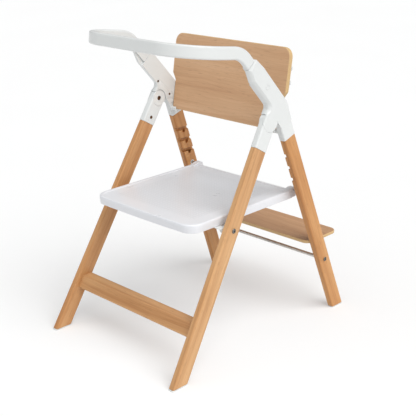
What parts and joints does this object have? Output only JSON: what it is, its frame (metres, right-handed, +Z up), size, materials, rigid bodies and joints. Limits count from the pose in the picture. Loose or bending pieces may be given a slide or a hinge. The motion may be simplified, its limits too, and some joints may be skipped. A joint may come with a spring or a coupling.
{
  "type": "baby high chair",
  "caption": "Folding wooden high chair for a baby, with a moulded seat, a plywood backrest and footplate, plastic side hubs and a wrap-around guard rail that lifts off.",
  "frame": {"origin": "on the floor, in the middle of the chair's footprint", "axes": "+Z up, -Y towards the front of the chair, +X towards the sitter's left"},
  "size_m": [0.51, 0.7054, 0.8503],
  "materials": {
    "beech": "satin lacquered beech",
    "plywood": "satin lacquered beech plywood",
    "white_plastic": "satin gloss white",
    "grey_plastic": "matte light grey",
    "steel": "satin",
    "bronzed_steel": "dark bronze plated"
  },
  "bodies": {
    "rear_frame": {"rear_leg_left": "beech", "rear_leg_right": "beech", "rear_glide_left": "grey_plastic", "rear_glide_right": "grey_plastic", "hub_shell_left": "white_plastic", "hub_shell_right": "white_plastic", "hub_cover_left": "white_plastic", "hub_cover_right": "white_plastic", "cover_screw_1_left": "bronzed_steel", "cover_screw_1_right": "bronzed_steel", "cover_screw_2_left": "bronzed_steel", "cover_screw_2_right": "bronzed_steel", "fold_pivot_left": "bronzed_steel", "fold_pivot_right": "bronzed_steel", "seat_pin_bush_left": "white_plastic", "seat_pin_bush_right": "white_plastic", "tie_rod": "steel", "tie_rod_bolt_left": "steel", "tie_rod_bolt_right": "steel", "backrest_panel": "plywood", "backrest_bracket_left": "white_plastic", "backrest_bracket_right": "white_plastic", "backrest_knob_1_left": "white_plastic", "backrest_knob_1_right": "white_plastic", "backrest_knob_2_left": "white_plastic", "backrest_knob_2_right": "white_plastic"},
    "front_frame": {"front_leg_left": "beech", "front_leg_right": "beech", "front_glide_left": "grey_plastic", "front_glide_right": "grey_plastic", "front_stretcher": "beech", "front_sleeve_left": "white_plastic", "front_sleeve_right": "white_plastic", "front_sleeve_screw_left": "bronzed_steel", "front_sleeve_screw_right": "bronzed_steel", "seat_bolt_left": "steel", "seat_bolt_right": "steel", "seat_nut_left": "steel", "seat_nut_right": "steel"},
    "seat": {"seat_shell": "white_plastic", "seat_bracket_left": "white_plastic", "seat_bracket_right": "white_plastic", "seat_pin_left": "steel", "seat_pin_right": "steel"},
    "rail": {"guard_rail": "white_plastic", "rail_plug_left": "grey_plastic", "rail_plug_right": "grey_plastic"},
    "button_left": {"release_button_left": "white_plastic"},
    "button_right": {"release_button_right": "white_plastic"},
    "footrest": {"footplate": "plywood"}
  },
  "joints": [
    {"name": "fold", "type": "hinge", "parent": "rear_frame", "child": "front_frame", "pos_m": [0, 0.0502, 0.617], "axis": [1, 0, 0], "range_deg": [0, 51]},
    {"name": "seat_lift", "type": "hinge", "parent": "front_frame", "child": "seat", "pos_m": [0, -0.1061, 0.361], "axis": [1, 0, 0], "range_deg": [0, 25.5]},
    {"name": "rail_pull", "type": "slide", "parent": "rear_frame", "child": "rail", "axis": [0, -0.6691, 0.7431], "range_m": [0, 0.05]},
    {"name": "press_left", "type": "slide", "parent": "rear_frame", "child": "button_left", "axis": [-1, 0, 0], "range_m": [0, 0.0018], "stiffness_N_per_m": 500},
    {"name": "press_right", "type": "slide", "parent": "rear_frame", "child": "button_right", "axis": [1, 0, 0], "range_m": [0, 0.0018], "stiffness_N_per_m": 500},
    {"name": "footplate_slide", "type": "slide", "parent": "rear_frame", "child": "footrest", "axis": [0, 1, 0], "range_m": [-0.03, 0.03]}
  ],
  "couplings": [
    {"joint": "seat_lift", "follows": "fold", "ratio": 0.49}
  ]
}
